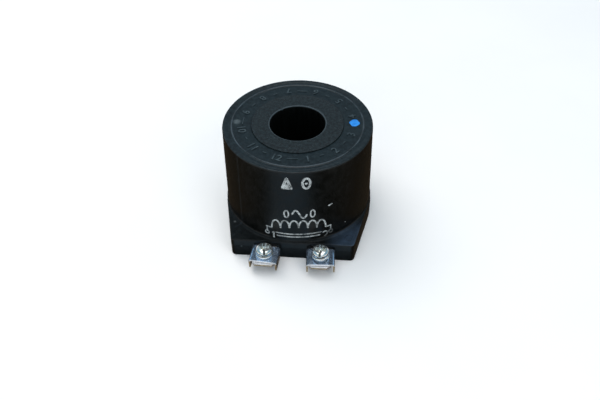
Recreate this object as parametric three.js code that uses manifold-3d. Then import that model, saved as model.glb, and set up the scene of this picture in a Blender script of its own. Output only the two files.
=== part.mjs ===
// Encapsulated solenoid coil with a through bore and two screw terminals.
// Millimetres, +Z up. The origin is at the middle of the footprint, on the resting face;
// the bore stands a little behind it, because the terminals reach out in front (-Y).
import * as THREE from 'three';
import { mergeVertices } from 'three/addons/utils/BufferGeometryUtils.js';
import Module from 'manifold-3d';

const wasm = await Module();
wasm.setup();

// ---- Driving dimensions -----------------------------------------------------------------

// Moulded body
const HEIGHT = 38.0; // resting face to the bobbin's top end face
const TOP_FACE = 37.75; // the moulding's top face, a little below the bobbin's end
const TOP_RADIUS = 25.05;
const FOOT_RADIUS = 25.5; // the barrel's radius where it meets the base
const RIM_TOP = 37.97; // the outer rim stands as high as the bobbin's end
const RIM_INNER_RADIUS = 23.3;
const RIM_CREST_RADIUS = 24.3;
const RIM_ROUND = 0.4; // edge break around the top
const BEAD_RADIUS = 21.95; // raised ring on the top face
const BEAD_HALF_WIDTH = 0.35;
const BEAD_HEIGHT = 0.2;

// Base plate of the moulding: a round back that tapers to a straight front
const BASE_HEIGHT = 7.5;
const BASE_BACK_RADIUS = 26.0;
const BASE_FRONT = 26.2; // bore axis to the front face
const BASE_FRONT_HALF_WIDTH = 21.15;
const BASE_CORNER_RADIUS = 1.6;

// Bobbin
const BORE_RADIUS = 9.3;
const TUBE_RADIUS = 10.5;
const COLLAR_RADIUS = 15.4; // end collars that show as a ring around the bore
const FLANGE_RADIUS = 21.5;
const LOWER_FLANGE_BOTTOM = 6.8;
const LOWER_FLANGE_TOP = 8.3;
const UPPER_FLANGE_BOTTOM = 34.3;
const UPPER_FLANGE_TOP = 35.8;
const BORE_CHAMFER = 0.3;

// Winding and its insulation
const WINDING_INNER_RADIUS = 10.8;
const WINDING_OUTER_RADIUS = 19.9;
const TAPE_INNER_RADIUS = 20.2;
const TAPE_OUTER_RADIUS = 20.6;
const WINDING_END_GAP = 0.3;

// Clearance between an insert and the moulding around it
const GAP = 0.3;

// Leads from the winding to the terminal strips
const LEAD_RADIUS = 0.25;
const SLEEVE_INNER_RADIUS = 0.36;
const SLEEVE_OUTER_RADIUS = 0.52;
const LEAD_DROP_RADIUS = 20.3; // where both leads pass down through the lower flange
const LEAD_ANGLE = THREE.MathUtils.degToRad(23.2); // either side of the front
const START_LEAD_FROM_RADIUS = 11.3;
const FINISH_LEAD_FROM_RADIUS = 19.6;
const LEAD_GROOVE_WIDTH = 1.6;
const LEAD_GROOVE_FLOOR = 7.2;
const LEAD_SLOT_WIDTH = 2.0;
const LEAD_SLOT_FROM_RADIUS = 18.9;
const LEAD_END = 5.8; // lower end of both leads, inside the solder
const START_SLEEVE_FROM = 12.2; // where the start lead's sleeve begins and ends in its groove
const START_SLEEVE_TO = 18.2;
const FINISH_SLEEVE_TOP = 6.75;
const FINISH_SLEEVE_BOTTOM = 6.35;
const SOLDER_POCKET = 3.4; // side of the square pocket over each solder joint
const SOLDER_RADIUS = 1.2;
const SOLDER_HEIGHT = 0.95;
const SOLDER_NECK_RADIUS = 0.45;
const SOLDER_GAP = 0.05; // under the solder
const SOLDER_HOLE_GAP = 0.08; // around the lead

// Terminals
const TERMINAL_SPACING = 18.8;
const TERMINAL_OFFSET = 0.45; // both terminals sit this far right of the base's middle
const SCREW_FROM_BORE = 30.3; // bore axis to screw axis
const STRIP_BOTTOM = 4.4;
const STRIP_THICKNESS = 0.8;
const STRIP_WIDTH = 7.2;
const STRIP_FRONT = 34.5; // bore axis to the strip's outer end
const STRIP_BACK = 17.2; // bore axis to the strip's moulded-in end
const STRIP_CORNER = 0.7;
const BURR_RADIUS = 2.2; // collar drawn down around the tapped hole
const BURR_DEPTH = 1.0;
const TAPPED_RADIUS = 1.55;

const SADDLE_WIDTH = 9.6;
const SADDLE_DEPTH = 7.0;
const SADDLE_THICKNESS = 0.7;
const SADDLE_HEIGHT = 4.2; // top face to the ends of the legs
const SADDLE_BEND = 0.9; // outer bend radius
const SADDLE_HOLE_RADIUS = 1.75;
const SADDLE_LIFT = 0.1; // gap between strip and saddle

const WASHER_OUTER_RADIUS = 2.95;
const WASHER_INNER_RADIUS = 1.6;
const WASHER_THICKNESS = 0.7;
const WASHER_SPLIT = THREE.MathUtils.degToRad(9);
const WASHER_GAP = 0.1;

const HEAD_RADIUS = 2.75; // M3 pan head
const HEAD_HEIGHT = 2.0;
const HEAD_ROUND = 1.0;
const SHANK_RADIUS = 1.45;
const SHANK_LENGTH = 6.0;
const SHANK_TIP_CHAMFER = 0.4;
const SLOT_WIDTH = 0.8;
const SLOT_DEPTH = 0.8;
const RECESS_WIDTH = 0.8;
const RECESS_SPAN = 2.9;
const RECESS_DEPTH = 1.3;

// How the loose pieces of each terminal have turned, and how far its washer's ends spring apart
const LEFT_TERMINAL = {
  saddleTurn: THREE.MathUtils.degToRad(-5.5),
  washerSplitAt: THREE.MathUtils.degToRad(200),
  washerRise: 0.4,
  slotTurn: THREE.MathUtils.degToRad(8),
};
const RIGHT_TERMINAL = {
  saddleTurn: THREE.MathUtils.degToRad(3),
  washerSplitAt: THREE.MathUtils.degToRad(-35),
  washerRise: 1.0,
  slotTurn: THREE.MathUtils.degToRad(-5),
};

// Facets around a full turn
const BODY_FACETS = 72;
const SMALL_FACETS = 28;
const BEND_FACETS = 6;
const LEAD_FACETS = 8;

// ---- Worked out from those --------------------------------------------------------------

const ORIGIN_TO_BORE = (STRIP_FRONT - BASE_BACK_RADIUS) / 2; // centres the footprint
const STRIP_TOP = STRIP_BOTTOM + STRIP_THICKNESS;
const SADDLE_BOTTOM = STRIP_TOP + SADDLE_LIFT;
const SADDLE_TOP = SADDLE_BOTTOM + SADDLE_THICKNESS;
const WASHER_BOTTOM = SADDLE_TOP + WASHER_GAP;
const WASHER_TOP = WASHER_BOTTOM + WASHER_THICKNESS;

// ---- Materials --------------------------------------------------------------------------

function finish(color, roughness, metalness) {
  return () => new THREE.MeshStandardMaterial({ color, roughness, metalness });
}

const mouldedPlastic = finish(0x1c2022, 0.38, 0.0);
const bobbinNylon = finish(0x24292b, 0.62, 0.0);
const copperWire = finish(0xb4622d, 0.35, 0.9);
const polyesterTape = finish(0xd8b23a, 0.3, 0.0);
const sleeving = finish(0xe6e0cf, 0.6, 0.0);
const solder = finish(0xb9bcc0, 0.32, 0.9);
const nickelledBrass = finish(0xc9c3b4, 0.3, 1.0);
const nickelledSteel = finish(0xc4c9cf, 0.25, 1.0);

// ---- Geometry helpers -------------------------------------------------------------------

function toSolid(geometry) {
  const bare = geometry.clone();
  bare.deleteAttribute('normal');
  bare.deleteAttribute('uv');
  const welded = mergeVertices(bare, 1e-4);
  const vertProperties = new Float32Array(welded.attributes.position.array);
  const triVerts = new Uint32Array(welded.index.array);
  return new wasm.Manifold(new wasm.Mesh({ numProp: 3, vertProperties, triVerts }));
}

function toGeometry(solid) {
  const mesh = solid.getMesh();
  const geometry = new THREE.BufferGeometry();
  geometry.setAttribute('position', new THREE.BufferAttribute(mesh.vertProperties, 3));
  geometry.setIndex(new THREE.BufferAttribute(mesh.triVerts, 1));
  return geometry;
}

// A solid of revolution about Z from [radius, height] points.
function turned(points, facets = BODY_FACETS) {
  const profile = points.map(([radius, height]) => new THREE.Vector2(radius, height));
  return new THREE.LatheGeometry(profile, facets).rotateX(Math.PI / 2);
}

// A turned ring: the profile is closed on itself.
function turnedRing(points, facets = BODY_FACETS) {
  return turned([...points, points[0]], facets);
}

function block(width, depth, height, x, y, bottom) {
  return new THREE.BoxGeometry(width, depth, height).translate(x, y, bottom + height / 2);
}

// A flat outline raised from one height to another. Three.js cuts each arc of an outline
// into twice curveSegments, so facets here is the number of facets on one arc.
function raised(shape, bottom, top, facets = SMALL_FACETS) {
  const options = { depth: top - bottom, bevelEnabled: false, curveSegments: facets / 2 };
  return new THREE.ExtrudeGeometry(shape, options).translate(0, 0, bottom);
}

function part(name, geometry, material) {
  const mesh = new THREE.Mesh(geometry, material());
  mesh.name = name;
  return mesh;
}

// ---- Moulded body -----------------------------------------------------------------------

// The plan of the base: a round back, two sides tangent to it, and rounded front corners.
function basePlan() {
  const cornerX = BASE_FRONT_HALF_WIDTH - BASE_CORNER_RADIUS;
  const cornerY = -BASE_FRONT + BASE_CORNER_RADIUS;
  const toCorner = Math.atan2(cornerY, cornerX);
  const reach = Math.hypot(cornerX, cornerY);
  const side = toCorner + Math.acos((BASE_BACK_RADIUS - BASE_CORNER_RADIUS) / reach);
  const front = -Math.PI / 2;
  const plan = new THREE.Shape();
  plan.absarc(0, 0, BASE_BACK_RADIUS, side, Math.PI - side, false);
  plan.absarc(-cornerX, cornerY, BASE_CORNER_RADIUS, Math.PI - side, 2 * Math.PI + front, false);
  plan.absarc(cornerX, cornerY, BASE_CORNER_RADIUS, front, side, false);
  return plan;
}

function barrel() {
  const beadFoot = BEAD_HALF_WIDTH;
  const beadCrest = BEAD_HALF_WIDTH / 2;
  return turned([
    [0, 0],
    [FOOT_RADIUS, 0],
    [FOOT_RADIUS, BASE_HEIGHT],
    [TOP_RADIUS, RIM_TOP - RIM_ROUND],
    [TOP_RADIUS - 0.3 * RIM_ROUND, RIM_TOP - 0.3 * RIM_ROUND],
    [TOP_RADIUS - RIM_ROUND, RIM_TOP],
    [RIM_CREST_RADIUS, RIM_TOP],
    [RIM_INNER_RADIUS, TOP_FACE],
    [BEAD_RADIUS + beadFoot, TOP_FACE],
    [BEAD_RADIUS + beadCrest, TOP_FACE + BEAD_HEIGHT],
    [BEAD_RADIUS - beadCrest, TOP_FACE + BEAD_HEIGHT],
    [BEAD_RADIUS - beadFoot, TOP_FACE],
    [0, TOP_FACE],
  ]);
}

// The room inside the moulding for the wound bobbin, open at both ends around the collars.
function bobbinRoom() {
  const collarRoom = COLLAR_RADIUS + GAP;
  const flangeRoom = FLANGE_RADIUS + GAP;
  return turned([
    [0, -1],
    [collarRoom, -1],
    [collarRoom, LOWER_FLANGE_BOTTOM - GAP],
    [flangeRoom, LOWER_FLANGE_BOTTOM - GAP],
    [flangeRoom, UPPER_FLANGE_TOP + GAP],
    [collarRoom, UPPER_FLANGE_TOP + GAP],
    [collarRoom, HEIGHT + 1],
    [0, HEIGHT + 1],
  ]);
}

function terminalX(side) {
  return TERMINAL_OFFSET + side * TERMINAL_SPACING / 2;
}

// The slot that holds one terminal strip, and the pocket over it for the solder joint.
function terminalRoom(side) {
  const slotBack = -STRIP_BACK + GAP;
  const slotFront = -BASE_FRONT - 1;
  const slot = block(
    STRIP_WIDTH + 2 * GAP,
    slotBack - slotFront,
    STRIP_THICKNESS + 2 * GAP,
    terminalX(side),
    (slotBack + slotFront) / 2,
    STRIP_BOTTOM - GAP,
  );
  const pocket = block(
    SOLDER_POCKET,
    SOLDER_POCKET,
    LOWER_FLANGE_BOTTOM - STRIP_BOTTOM,
    side * leadX(),
    leadY(),
    STRIP_BOTTOM,
  );
  return toSolid(slot).add(toSolid(pocket));
}

function mouldedBody() {
  const base = toSolid(raised(basePlan(), 0, BASE_HEIGHT, BODY_FACETS / 2));
  const body = toSolid(barrel())
    .add(base)
    .subtract(toSolid(bobbinRoom()))
    .subtract(terminalRoom(-1))
    .subtract(terminalRoom(1));
  return part('moulded_body', toGeometry(body), mouldedPlastic);
}

// ---- Bobbin -----------------------------------------------------------------------------

function bobbin() {
  const ends = turnedRing([
    [BORE_RADIUS, BORE_CHAMFER],
    [BORE_RADIUS + BORE_CHAMFER, 0],
    [COLLAR_RADIUS, 0],
    [COLLAR_RADIUS, LOWER_FLANGE_BOTTOM],
    [FLANGE_RADIUS, LOWER_FLANGE_BOTTOM],
    [FLANGE_RADIUS, LOWER_FLANGE_TOP],
    [TUBE_RADIUS, LOWER_FLANGE_TOP],
    [TUBE_RADIUS, UPPER_FLANGE_BOTTOM],
    [FLANGE_RADIUS, UPPER_FLANGE_BOTTOM],
    [FLANGE_RADIUS, UPPER_FLANGE_TOP],
    [COLLAR_RADIUS, UPPER_FLANGE_TOP],
    [COLLAR_RADIUS, HEIGHT],
    [BORE_RADIUS + BORE_CHAMFER, HEIGHT],
    [BORE_RADIUS, HEIGHT - BORE_CHAMFER],
  ]);
  let body = toSolid(ends);
  for (const side of [-1, 1]) {
    body = body.subtract(leadSlot(side));
  }
  body = body.subtract(startLeadGroove());
  return part('bobbin', toGeometry(body), bobbinNylon);
}

// A slot through the lower flange's edge for a lead to pass down.
function leadSlot(side) {
  const length = FLANGE_RADIUS + 1 - LEAD_SLOT_FROM_RADIUS;
  const slot = block(
    LEAD_SLOT_WIDTH,
    length,
    LOWER_FLANGE_TOP - LOWER_FLANGE_BOTTOM + 1,
    0,
    -LEAD_SLOT_FROM_RADIUS - length / 2,
    LOWER_FLANGE_BOTTOM - 0.5,
  );
  return toSolid(slot.rotateZ(side * LEAD_ANGLE));
}

// The radial groove that takes the start lead out from under the winding.
function startLeadGroove() {
  const from = TUBE_RADIUS;
  const length = LEAD_SLOT_FROM_RADIUS + 0.5 - from;
  const groove = block(
    LEAD_GROOVE_WIDTH,
    length,
    LOWER_FLANGE_TOP - LEAD_GROOVE_FLOOR + 1,
    0,
    -from - length / 2,
    LEAD_GROOVE_FLOOR,
  );
  return toSolid(groove.rotateZ(-LEAD_ANGLE));
}

// ---- Winding ----------------------------------------------------------------------------

function hollowCylinder(inner, outer, bottom, top) {
  return turnedRing([[inner, bottom], [outer, bottom], [outer, top], [inner, top]]);
}

function winding() {
  const bottom = LOWER_FLANGE_TOP + WINDING_END_GAP;
  const top = UPPER_FLANGE_BOTTOM - WINDING_END_GAP;
  const coil = hollowCylinder(WINDING_INNER_RADIUS, WINDING_OUTER_RADIUS, bottom, top);
  return part('winding', coil, copperWire);
}

function windingTape() {
  const bottom = LOWER_FLANGE_TOP + WINDING_END_GAP;
  const top = UPPER_FLANGE_BOTTOM - WINDING_END_GAP;
  const wrap = hollowCylinder(TAPE_INNER_RADIUS, TAPE_OUTER_RADIUS, bottom, top);
  return part('winding_tape', wrap, polyesterTape);
}

// ---- Leads ------------------------------------------------------------------------------

function leadX() {
  return LEAD_DROP_RADIUS * Math.sin(LEAD_ANGLE);
}

function leadY() {
  return -LEAD_DROP_RADIUS * Math.cos(LEAD_ANGLE);
}

// A path in the upright plane through the bore axis at the lead's angle.
function leadPath(side, points) {
  const across = side * Math.sin(LEAD_ANGLE);
  const along = -Math.cos(LEAD_ANGLE);
  const route = points.map(
    ([radius, height]) => new THREE.Vector3(radius * across, radius * along, height),
  );
  return new THREE.CatmullRomCurve3(route);
}

function circle(radius) {
  const outline = new THREE.Shape();
  outline.absarc(0, 0, radius, 0, 2 * Math.PI, false);
  return outline;
}

function along(shape, path, steps) {
  const curveSegments = LEAD_FACETS / 2;
  const options = { extrudePath: path, steps, curveSegments, bevelEnabled: false };
  return new THREE.ExtrudeGeometry(shape, options);
}

function startLead() {
  const inGroove = (LEAD_GROOVE_FLOOR + LOWER_FLANGE_TOP) / 2;
  const path = leadPath(-1, [
    [START_LEAD_FROM_RADIUS, inGroove],
    [15, inGroove],
    [18.6, inGroove],
    [19.9, inGroove - 0.35],
    [LEAD_DROP_RADIUS, inGroove - 1.1],
    [LEAD_DROP_RADIUS, LEAD_END],
  ]);
  return part('start_lead', along(circle(LEAD_RADIUS), path, 24), copperWire);
}

function finishLead() {
  const top = LOWER_FLANGE_TOP - 0.05;
  const path = leadPath(1, [
    [FINISH_LEAD_FROM_RADIUS, top],
    [LEAD_DROP_RADIUS - 0.1, top - 0.7],
    [LEAD_DROP_RADIUS, top - 1.4],
    [LEAD_DROP_RADIUS, LEAD_END],
  ]);
  return part('finish_lead', along(circle(LEAD_RADIUS), path, 14), copperWire);
}

function sleeveSection() {
  const outline = circle(SLEEVE_OUTER_RADIUS);
  const hole = new THREE.Path();
  hole.absarc(0, 0, SLEEVE_INNER_RADIUS, 0, 2 * Math.PI, true);
  outline.holes.push(hole);
  return outline;
}

function startSleeve() {
  const inGroove = (LEAD_GROOVE_FLOOR + LOWER_FLANGE_TOP) / 2;
  const path = leadPath(-1, [[START_SLEEVE_FROM, inGroove], [START_SLEEVE_TO, inGroove]]);
  return part('start_lead_sleeve', along(sleeveSection(), path, 2), sleeving);
}

function finishSleeve() {
  const path = leadPath(1, [
    [LEAD_DROP_RADIUS, FINISH_SLEEVE_TOP],
    [LEAD_DROP_RADIUS, FINISH_SLEEVE_BOTTOM],
  ]);
  return part('finish_lead_sleeve', along(sleeveSection(), path, 1), sleeving);
}

// A cone of solder around the end of a lead, on top of the strip.
function solderJoint(name, side) {
  const hole = LEAD_RADIUS + SOLDER_HOLE_GAP;
  const top = STRIP_TOP + SOLDER_HEIGHT;
  const joint = turnedRing([
    [hole, STRIP_TOP + SOLDER_GAP],
    [SOLDER_RADIUS, STRIP_TOP + SOLDER_GAP],
    [0.8 * SOLDER_RADIUS, STRIP_TOP + 0.25 * SOLDER_HEIGHT],
    [0.5 * SOLDER_RADIUS, STRIP_TOP + 0.6 * SOLDER_HEIGHT],
    [SOLDER_NECK_RADIUS, top],
    [hole, top],
  ], LEAD_FACETS * 2);
  joint.translate(side * leadX(), leadY(), 0);
  return part(name, joint, solder);
}

// ---- Terminals --------------------------------------------------------------------------

// Each of these pieces is drawn about its own screw axis, and the terminal's group places it.

function strip(name) {
  const half = STRIP_WIDTH / 2;
  const front = SCREW_FROM_BORE - STRIP_FRONT;
  const back = SCREW_FROM_BORE - STRIP_BACK;
  const plan = new THREE.Shape();
  plan.moveTo(-half, back);
  plan.lineTo(-half, front + STRIP_CORNER);
  plan.lineTo(-half + STRIP_CORNER, front);
  plan.lineTo(half - STRIP_CORNER, front);
  plan.lineTo(half, front + STRIP_CORNER);
  plan.lineTo(half, back);
  const plate = toSolid(raised(plan, STRIP_BOTTOM, STRIP_TOP));
  const burrBottom = STRIP_BOTTOM - BURR_DEPTH;
  const burrTop = STRIP_BOTTOM + STRIP_THICKNESS / 2;
  const burr = toSolid(raised(circle(BURR_RADIUS), burrBottom, burrTop));
  const tapped = toSolid(raised(circle(TAPPED_RADIUS), burrBottom - 1, STRIP_TOP + 1));
  return part(name, toGeometry(plate.add(burr).subtract(tapped)), nickelledBrass);
}

// The saddle's end view: a flat top with a leg bent down at each side.
function saddleSection() {
  const half = SADDLE_WIDTH / 2;
  const inner = half - SADDLE_THICKNESS;
  const innerBend = SADDLE_BEND - SADDLE_THICKNESS;
  const foot = -SADDLE_HEIGHT;
  const underside = -SADDLE_THICKNESS;
  const footTaper = SADDLE_THICKNESS / 3;
  const section = new THREE.Shape();
  section.moveTo(-half, foot + footTaper);
  section.lineTo(-half + footTaper, foot);
  section.lineTo(-inner, foot + footTaper);
  section.absarc(-inner + innerBend, underside - innerBend, innerBend, Math.PI, Math.PI / 2, true);
  section.absarc(inner - innerBend, underside - innerBend, innerBend, Math.PI / 2, 0, true);
  section.lineTo(inner, foot + footTaper);
  section.lineTo(half - footTaper, foot);
  section.lineTo(half, foot + footTaper);
  section.absarc(half - SADDLE_BEND, -SADDLE_BEND, SADDLE_BEND, 0, Math.PI / 2, false);
  section.absarc(-half + SADDLE_BEND, -SADDLE_BEND, SADDLE_BEND, Math.PI / 2, Math.PI, false);
  return section;
}

function saddle(name) {
  const options = { depth: SADDLE_DEPTH, bevelEnabled: false, curveSegments: BEND_FACETS / 2 };
  const bent = new THREE.ExtrudeGeometry(saddleSection(), options)
    .translate(0, 0, -SADDLE_DEPTH / 2)
    .rotateX(Math.PI / 2)
    .translate(0, 0, SADDLE_TOP);
  const hole = raised(circle(SADDLE_HOLE_RADIUS), SADDLE_BOTTOM - 1, SADDLE_TOP + 1);
  const clamp = toSolid(bent).subtract(toSolid(hole));
  return part(name, toGeometry(clamp), nickelledSteel);
}

// A split ring that climbs by its rise once round.
function springWasher(name, splitAt, rise) {
  const from = splitAt + WASHER_SPLIT / 2;
  const to = splitAt + 2 * Math.PI - WASHER_SPLIT / 2;
  const ring = new THREE.Shape();
  ring.absarc(0, 0, WASHER_OUTER_RADIUS, from, to, false);
  ring.absarc(0, 0, WASHER_INNER_RADIUS, to, from, true);
  const geometry = raised(ring, WASHER_BOTTOM, WASHER_TOP);
  const points = geometry.attributes.position;
  for (let i = 0; i < points.count; i += 1) {
    const angle = Math.atan2(points.getY(i), points.getX(i)) - splitAt;
    const share = THREE.MathUtils.euclideanModulo(angle, 2 * Math.PI) / (2 * Math.PI);
    points.setZ(i, points.getZ(i) + rise * share);
  }
  geometry.computeVertexNormals();
  return part(name, geometry, nickelledSteel);
}

function terminalScrew(name, slotTurn, headBottom) {
  const top = headBottom + HEAD_HEIGHT;
  const tip = headBottom - SHANK_LENGTH;
  const blank = toSolid(turned([
    [0, tip],
    [SHANK_RADIUS - SHANK_TIP_CHAMFER, tip],
    [SHANK_RADIUS, tip + SHANK_TIP_CHAMFER],
    [SHANK_RADIUS, headBottom],
    [HEAD_RADIUS, headBottom],
    [HEAD_RADIUS, top - HEAD_ROUND],
    [HEAD_RADIUS - 0.3 * HEAD_ROUND, top - 0.35 * HEAD_ROUND],
    [HEAD_RADIUS - HEAD_ROUND, top],
    [0, top],
  ], SMALL_FACETS));
  const slot = block(SLOT_WIDTH, 2 * HEAD_RADIUS + 1, SLOT_DEPTH + 1, 0, 0, top - SLOT_DEPTH);
  const recess = block(RECESS_SPAN, RECESS_WIDTH, RECESS_DEPTH + 1, 0, 0, top - RECESS_DEPTH);
  const recessAlong = block(RECESS_WIDTH, RECESS_SPAN, RECESS_DEPTH + 1, 0, 0, top - RECESS_DEPTH);
  const driven = toSolid(slot).add(toSolid(recess)).add(toSolid(recessAlong));
  const cutter = toSolid(toGeometry(driven).rotateZ(slotTurn));
  return part(name, toGeometry(blank.subtract(cutter)), nickelledSteel);
}

function terminal(which, side, { saddleTurn, washerSplitAt, washerRise, slotTurn }) {
  const group = new THREE.Group();
  group.position.set(terminalX(side), -SCREW_FROM_BORE, 0);
  const clamp = saddle(`saddle_clamp_${which}`);
  clamp.rotation.z = saddleTurn;
  group.add(
    strip(`terminal_strip_${which}`),
    clamp,
    springWasher(`spring_washer_${which}`, washerSplitAt, washerRise),
    terminalScrew(`terminal_screw_${which}`, slotTurn, WASHER_TOP + washerRise + WASHER_GAP),
  );
  return group;
}

// ---- Assembly ---------------------------------------------------------------------------

const coil = new THREE.Group();
coil.position.y = ORIGIN_TO_BORE;
coil.add(
  mouldedBody(),
  bobbin(),
  winding(),
  windingTape(),
  startLead(),
  finishLead(),
  startSleeve(),
  finishSleeve(),
  solderJoint('solder_joint_left', -1),
  solderJoint('solder_joint_right', 1),
  terminal('left', -1, LEFT_TERMINAL),
  terminal('right', 1, RIGHT_TERMINAL),
);

const model = new THREE.Group();
model.add(coil);

export default model;
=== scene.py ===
"""Looks of an encapsulated solenoid coil with two screw terminals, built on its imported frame."""
import math

import bmesh
import bpy
import numpy as np
from mathutils import Matrix, Vector


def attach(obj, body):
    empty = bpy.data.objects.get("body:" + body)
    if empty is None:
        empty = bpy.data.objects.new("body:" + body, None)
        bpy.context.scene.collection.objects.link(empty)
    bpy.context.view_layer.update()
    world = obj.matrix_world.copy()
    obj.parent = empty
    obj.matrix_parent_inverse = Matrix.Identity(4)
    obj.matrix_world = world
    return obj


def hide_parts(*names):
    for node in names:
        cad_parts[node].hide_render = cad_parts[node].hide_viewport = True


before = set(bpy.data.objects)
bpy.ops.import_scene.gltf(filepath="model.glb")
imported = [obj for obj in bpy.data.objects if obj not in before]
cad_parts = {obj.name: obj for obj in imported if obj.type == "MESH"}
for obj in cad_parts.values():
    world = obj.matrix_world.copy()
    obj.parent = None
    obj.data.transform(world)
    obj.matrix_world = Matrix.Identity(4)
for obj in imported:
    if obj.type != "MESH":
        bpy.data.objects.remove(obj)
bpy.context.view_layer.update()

# ---- Driving dimensions, in millimetres measured from the bore axis ----------------------

MM = 0.001
BORE_AXIS_Y = 4.25  # the bore axis stands this far behind the frame's origin

# Moulded body
HEIGHT = 38.0
TOP_FACE = 37.75
TOP_RADIUS = 25.05
FOOT_RADIUS = 25.5
RIM_TOP = 37.97
RIM_CREST_RADIUS = 24.45
RIM_INNER_RADIUS = 22.7
RIM_ROUND = 0.45
BEAD_RADIUS = 21.95
BEAD_HALF_WIDTH = 0.42
BEAD_HEIGHT = 0.22
DIP_DEPTH = 0.04
BASE_HEIGHT = 7.5
BASE_BACK_RADIUS = 26.0
BASE_FRONT = 26.2
BASE_FRONT_HALF_WIDTH = 21.15
BASE_CORNER = 1.6
BASE_EDGE_ROUND = 0.4
PARTING_HEIGHT = 4.8
PARTING_RIDGE = 0.05
UPPER_DRAFT = 0.16
LOWER_DRAFT = 0.06
BOTTOM_ROUND = 0.22
GATE = (-17.4, -26.1, 4.6)
EJECTOR_MARK = (18.9, -22.5)  # one on each side of the ledge
EJECTOR_RADIUS = 1.25
FILLET_MAX = 1.2
FILLET_MIN = 0.4

# Room for the wound bobbin inside the moulding
COLLAR_ROOM = 15.46
FLANGE_ROOM = 21.8
ROOM_BOTTOM = 6.5
ROOM_TOP = 36.1

# Bobbin
BORE_RADIUS = 9.3
TUBE_RADIUS = 10.5
COLLAR_RADIUS = 15.4
FLANGE_RADIUS = 21.5
FLANGES = ((6.8, 8.3), (34.3, 35.8))
BORE_ROUND = 0.4
NOTCH_ANGLE = math.radians(129)
NOTCH_HALF_ANGLE = math.radians(2.6)
NOTCH_DROP = 0.3  # how far the bore's rounded edge dips at the notch
NOTCH_LENGTH = 1.6
LEAD_ANGLE = math.radians(23.2)  # both leads leave the winding this far either side of the front

# Winding and tape
WINDING_RADII = (10.8, 19.9)
TAPE_RADII = (20.2, 20.6)
WINDING_ENDS = (8.6, 34.0)
WIRE_PITCH = 0.508

# Terminals
TERMINAL_X = {"left": -8.95, "right": 9.85}
SCREW_FROM_BORE = 30.3
STRIP_Z = (4.4, 5.2)
STRIP_WIDTH = 7.2
STRIP_FRONT = 34.5
STRIP_BACK = 17.2
STRIP_CORNER = 0.7
STRIP_ROOM = 0.06  # between the strip and the slot it is moulded into
SLOT_BACK = 16.9
BURR_RADIUS = 2.2
BURR_DEPTH = 1.0
TAPPED_RADIUS = 1.55
SADDLE_WIDTH = 9.6
SADDLE_DEPTH = 7.0
SADDLE_THICKNESS = 0.7
SADDLE_HEIGHT = 4.2
SADDLE_BEND = 0.9
SADDLE_TOP = 6.0
SADDLE_HOLE_RADIUS = 1.75
WASHER_RADII = (1.6, 2.95)
WASHER_Z = (6.12, 6.8)
HEAD_BOTTOM = {"left": 7.3, "right": 7.9}
HEAD_RADIUS = 2.75
HEAD_HEIGHT = 2.0
SHANK_RADIUS = 1.45
SHANK_LENGTH = 6.0
THREAD_PITCH = 0.5
THREAD_DEPTH = 0.27

# How each terminal's loose pieces have turned, and how far its washer's ends spring apart
LOOSE = {
    "left": {
        "saddle": math.radians(-5.5),
        "slot": math.radians(8),
        "split": math.radians(200),
        "rise": 0.4,
    },
    "right": {
        "saddle": math.radians(3),
        "slot": math.radians(-5),
        "split": math.radians(-35),
        "rise": 1.0,
    },
}
SIDES = {"left": -1, "right": 1}

# Marks
NUMERAL_RADIUS = 18.6
NUMERAL_HEIGHT = 2.7
RELIEF = 0.2
PAINTED_BAR = 3  # the paint dot stands here instead of a bar
PAINT_DOT = (18.9, 1.5)
PAINT_DOT_SIZE = (1.75, 1.95)
INK_LIFT = 0.035


# ---- Mesh helpers ------------------------------------------------------------------------

def build(name, verts, faces, body, materials, face_materials=None, smooth_angle=35):
    """A mesh piece from points in millimetres about the bore axis, riding on a body."""
    mesh = bpy.data.meshes.new(name)
    shifted = [(x * MM, (y + BORE_AXIS_Y) * MM, z * MM) for x, y, z in verts]
    mesh.from_pydata(shifted, [], faces)
    for material in materials:
        mesh.materials.append(material)
    if face_materials is not None:
        mesh.polygons.foreach_set("material_index", face_materials)
    tidy_normals(mesh)
    smooth(mesh, smooth_angle)
    piece = bpy.data.objects.new(name, mesh)
    bpy.context.scene.collection.objects.link(piece)
    if body:
        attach(piece, body)
    return piece


def tidy_normals(mesh):
    work = bmesh.new()
    work.from_mesh(mesh)
    bmesh.ops.recalc_face_normals(work, faces=work.faces)
    work.to_mesh(mesh)
    work.free()


def smooth(mesh, angle):
    mesh.shade_smooth()
    mesh.set_sharp_from_angle(angle=math.radians(angle))


def stands_for(piece, slot, *nodes):
    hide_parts(*nodes)
    return piece


def fillet(corners, closed=True, steps=6):
    """Points along a path of (x, y, radius) corners, each rounded by its radius."""
    points = []
    last = len(corners) - 1
    for i, (x, y, radius) in enumerate(corners):
        if radius == 0 or (not closed and i in (0, last)):
            points.append((x, y))
            continue
        here = Vector((x, y))
        before = (Vector(corners[i - 1][:2]) - here).normalized()
        after = (Vector(corners[(i + 1) % len(corners)][:2]) - here).normalized()
        half = before.angle(after) / 2
        centre = here + (before + after).normalized() * radius / math.sin(half)
        start = here + before * radius / math.tan(half) - centre
        end = here + after * radius / math.tan(half) - centre
        first = math.atan2(start.y, start.x)
        sweep = (math.atan2(end.y, end.x) - first + math.pi) % (2 * math.pi) - math.pi
        for k in range(steps + 1):
            angle = first + sweep * k / steps
            points.append((centre.x + radius * math.cos(angle), centre.y + radius * math.sin(angle)))
    return points


def ring_faces(rings, count, wrap):
    """Quads that join rings of count points each; wrap joins the last ring to the first."""
    faces = []
    for i in range(rings if wrap else rings - 1):
        this, other = i * count, ((i + 1) % rings) * count
        for j in range(count):
            k = (j + 1) % count
            faces.append((this + j, this + k, other + k, other + j))
    return faces


def tube_faces(rings, count):
    """Quads between rings of count points, with the first and last ring closed off."""
    last = (rings - 1) * count
    ends = [tuple(range(count)), tuple(range(last, last + count))]
    return ring_faces(rings, count, False) + ends


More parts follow.
